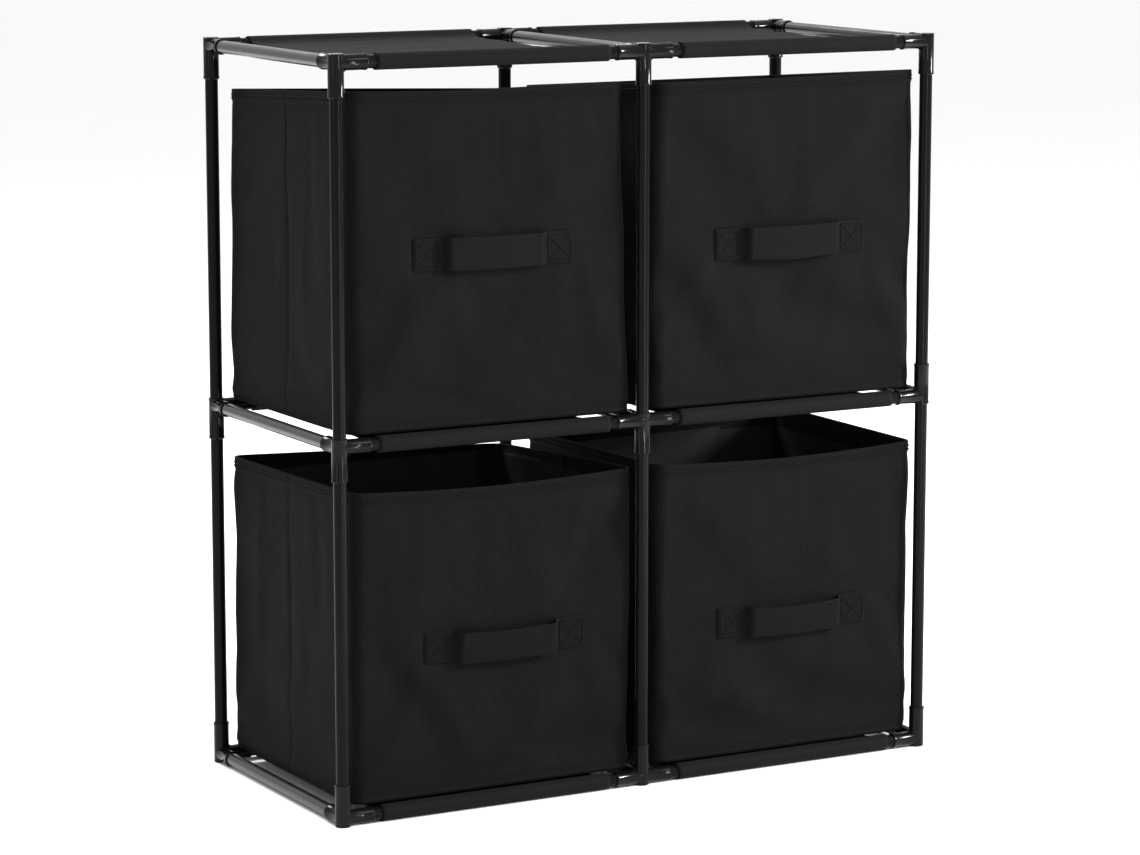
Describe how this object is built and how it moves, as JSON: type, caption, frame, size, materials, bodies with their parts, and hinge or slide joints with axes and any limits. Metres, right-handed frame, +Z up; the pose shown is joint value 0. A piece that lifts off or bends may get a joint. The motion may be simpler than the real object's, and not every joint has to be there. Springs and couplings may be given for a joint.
{
  "type": "cube storage unit",
  "caption": "Free-standing storage unit: a painted steel tube frame with moulded corner connectors, sleeved cloth shelves and pull-out open cloth boxes with strap handles.",
  "frame": {"origin": "on the floor at the middle of the tube frame's footprint", "axes": "+Z up, -Y out of the front where the box handles are, +X to the right seen from the front"},
  "size_m": [0.6486, 0.2916, 0.71],
  "materials": {
    "tube_paint": "semi-gloss black powder coat on steel tube",
    "connector_plastic": "glossy black moulded plastic",
    "shelf_cloth": "matt black non-woven cloth with sewn sleeves",
    "box_cloth": "matt black non-woven cloth over stiffening board",
    "strap_webbing": "doubled black cloth strap, stitched",
    "board_cover": "stiff board covered with black non-woven cloth"
  },
  "bodies": {
    "frame": {"connector_bottom_front_left": "connector_plastic", "connector_bottom_front_centre": "connector_plastic", "connector_bottom_front_right": "connector_plastic", "connector_bottom_back_left": "connector_plastic", "connector_bottom_back_centre": "connector_plastic", "connector_bottom_back_right": "connector_plastic", "connector_middle_front_left": "connector_plastic", "connector_middle_front_centre": "connector_plastic", "connector_middle_front_right": "connector_plastic", "connector_middle_back_left": "connector_plastic", "connector_middle_back_centre": "connector_plastic", "connector_middle_back_right": "connector_plastic", "connector_top_front_left": "connector_plastic", "connector_top_front_centre": "connector_plastic", "connector_top_front_right": "connector_plastic", "connector_top_back_left": "connector_plastic", "connector_top_back_centre": "connector_plastic", "connector_top_back_right": "connector_plastic", "post_front_left": "tube_paint", "post_front_centre": "tube_paint", "post_front_right": "tube_paint", "post_back_left": "tube_paint", "post_back_centre": "tube_paint", "post_back_right": "tube_paint", "rail_bottom_front_left": "tube_paint", "rail_bottom_front_right": "tube_paint", "rail_bottom_back": "tube_paint", "rail_middle_front_left": "tube_paint", "rail_middle_front_right": "tube_paint", "rail_middle_back_left": "tube_paint", "rail_middle_back_right": "tube_paint", "rail_top_front": "tube_paint", "rail_top_back": "tube_paint", "depth_tube_bottom_left": "tube_paint", "depth_tube_bottom_centre": "tube_paint", "depth_tube_bottom_right": "tube_paint", "depth_tube_middle_left": "tube_paint", "depth_tube_middle_centre": "tube_paint", "depth_tube_middle_right": "tube_paint", "depth_tube_top_left": "tube_paint", "depth_tube_top_centre": "tube_paint", "depth_tube_top_right": "tube_paint", "shelf_bottom_left": "shelf_cloth", "shelf_bottom_right": "shelf_cloth", "shelf_middle_left": "shelf_cloth", "shelf_middle_right": "shelf_cloth", "shelf_top_left": "shelf_cloth", "shelf_top_right": "shelf_cloth"},
    "box_top_left": {"box_top_left_shell": "box_cloth", "box_top_left_base_board": "board_cover", "box_top_left_handle": "strap_webbing"},
    "box_top_right": {"box_top_right_shell": "box_cloth", "box_top_right_base_board": "board_cover", "box_top_right_handle": "strap_webbing"},
    "box_bottom_left": {"box_bottom_left_shell": "box_cloth", "box_bottom_left_base_board": "board_cover", "box_bottom_left_handle": "strap_webbing"},
    "box_bottom_right": {"box_bottom_right_shell": "box_cloth", "box_bottom_right_base_board": "board_cover", "box_bottom_right_handle": "strap_webbing"}
  },
  "joints": [
    {"name": "box_top_left_slide", "type": "slide", "parent": "frame", "child": "box_top_left", "axis": [0, -1, 0], "range_m": [0, 0.3]},
    {"name": "box_top_right_slide", "type": "slide", "parent": "frame", "child": "box_top_right", "axis": [0, -1, 0], "range_m": [0, 0.3]},
    {"name": "box_bottom_left_slide", "type": "slide", "parent": "frame", "child": "box_bottom_left", "axis": [0, -1, 0], "range_m": [0, 0.3]},
    {"name": "box_bottom_right_slide", "type": "slide", "parent": "frame", "child": "box_bottom_right", "axis": [0, -1, 0], "range_m": [0, 0.3]}
  ]
}
